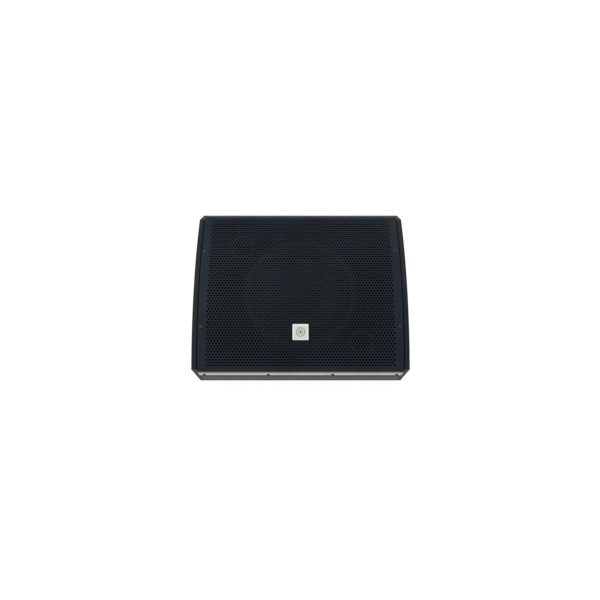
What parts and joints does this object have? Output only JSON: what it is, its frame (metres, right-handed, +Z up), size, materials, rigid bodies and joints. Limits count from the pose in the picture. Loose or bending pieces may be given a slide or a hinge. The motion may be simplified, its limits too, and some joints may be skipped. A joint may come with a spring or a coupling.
{
  "type": "stage monitor wedge",
  "caption": "Active coaxial floor monitor: a low wooden wedge with a curved perforated steel front, a woofer with a central horn, ports, side handles, a pole socket and a rear amplifier panel.",
  "frame": {"origin": "on the floor under the middle of the wedge, at the undersides of the rubber feet", "axes": "+X across the width, to the right as seen from the front; +Y towards the back; +Z up; the grille faces -Y and up"},
  "size_m": [0.557, 0.4044, 0.3789],
  "materials": {
    "painted_ply": "satin",
    "kick_paint": "satin",
    "grille_steel": "satin",
    "foam": "matte",
    "black_screw": "satin",
    "badge_plate": "satin",
    "baffle_paint": "matte",
    "tube_plastic": "matte",
    "basket_steel": "satin",
    "grey_gasket": "matte",
    "surround_cloth": "matte",
    "cone_paper": "matte",
    "screen_cloth": "matte",
    "coil_copper": "satin",
    "spider_cloth": "matte",
    "plain_steel": "satin",
    "ferrite": "matte",
    "horn_plastic": "satin",
    "driver_can": "satin",
    "terminal_brass": "satin",
    "handle_plastic": "matte",
    "handle_steel": "satin",
    "socket_steel": "satin",
    "foot_rubber": "matte",
    "zinc_screw": "satin",
    "plate_paint": "satin",
    "sink_aluminium": "satin",
    "box_steel": "satin",
    "board_fibre": "satin",
    "copper_ring": "satin",
    "connector_plastic": "satin",
    "latch_nickel": "satin",
    "rocker_plastic": "gloss",
    "pot_metal": "satin",
    "knob_plastic": "satin",
    "button_plastic": "satin",
    "switch_plastic": "satin",
    "lamp_lens": "gloss",
    "lead_sheath": "satin",
    "batten_pine": "matte",
    "felt": "matte"
  },
  "bodies": {
    "cabinet": {"left_cheek": "painted_ply", "right_cheek": "painted_ply", "base_panel": "painted_ply", "kick_panel": "kick_paint", "baffle_board": "baffle_paint", "top_panel": "painted_ply", "rear_panel": "painted_ply", "rear_cleats": "batten_pine", "grille_cleats": "baffle_paint", "grille": "grille_steel", "grille_gasket_lower": "foam", "grille_gasket_upper": "foam", "grille_side_tapes": "foam", "grille_screws": "black_screw", "badge": "badge_plate", "port_tube_lower": "tube_plastic", "port_tube_upper": "tube_plastic", "woofer_basket": "basket_steel", "woofer_gasket": "grey_gasket", "woofer_screws": "black_screw", "surround": "surround_cloth", "spider": "spider_cloth", "magnet_front_plate": "plain_steel", "ferrite_magnet": "ferrite", "magnet_back_plate": "plain_steel", "hf_horn": "horn_plastic", "compression_driver": "driver_can", "woofer_terminals": "terminal_brass", "handle_cup_left": "handle_plastic", "handle_cup_right": "handle_plastic", "handle_grip_left": "handle_steel", "handle_grip_right": "handle_steel", "handle_screws": "black_screw", "pole_socket": "socket_steel", "pole_socket_screws": "black_screw", "rubber_feet": "foot_rubber", "feet_screws": "zinc_screw", "amp_plate": "plate_paint", "amp_heatsink": "sink_aluminium", "amp_box": "box_steel", "amp_circuit_board": "board_fibre", "power_transformer": "copper_ring", "amp_plate_screws": "black_screw", "xlr_input": "connector_plastic", "xlr_link": "connector_plastic", "mains_inlet": "connector_plastic", "switch_bezel": "connector_plastic", "level_control": "pot_metal", "push_switches": "switch_plastic", "status_lamps": "lamp_lens", "speaker_leads": "lead_sheath", "damping_mat": "felt"},
    "cone": {"woofer_cone": "cone_paper", "dust_screen": "screen_cloth", "voice_coil": "coil_copper"},
    "knob": {"level_knob": "knob_plastic"},
    "rocker": {"power_rocker": "rocker_plastic"},
    "contour": {"contour_button": "button_plastic"},
    "ground_lift": {"ground_lift_button": "button_plastic"},
    "latch": {"xlr_latch": "latch_nickel"}
  },
  "joints": [
    {"name": "cone_travel", "type": "slide", "parent": "cabinet", "child": "cone", "axis": [0, -0.6034, 0.7974], "range_m": [-0.004, 0.004], "stiffness_N_per_m": 5400, "deforming": ["surround", "spider"]},
    {"name": "level_knob_turn", "type": "hinge", "parent": "cabinet", "child": "knob", "pos_m": [-0.012, 0.18024, 0.257], "axis": [0, 1, 0], "range_deg": [-150, 150]},
    {"name": "power_rocker_tilt", "type": "hinge", "parent": "cabinet", "child": "rocker", "pos_m": [-0.1, 0.18324, 0.215], "axis": [-1, 0, 0], "range_deg": [0, 20]},
    {"name": "contour_press", "type": "slide", "parent": "cabinet", "child": "contour", "axis": [0, -1, 0], "range_m": [0, 0.0025], "stiffness_N_per_m": 400},
    {"name": "ground_lift_press", "type": "slide", "parent": "cabinet", "child": "ground_lift", "axis": [0, -1, 0], "range_m": [0, 0.0025], "stiffness_N_per_m": 400},
    {"name": "xlr_latch_press", "type": "slide", "parent": "cabinet", "child": "latch", "axis": [0, -1, 0], "range_m": [0, 0.002], "stiffness_N_per_m": 800}
  ]
}
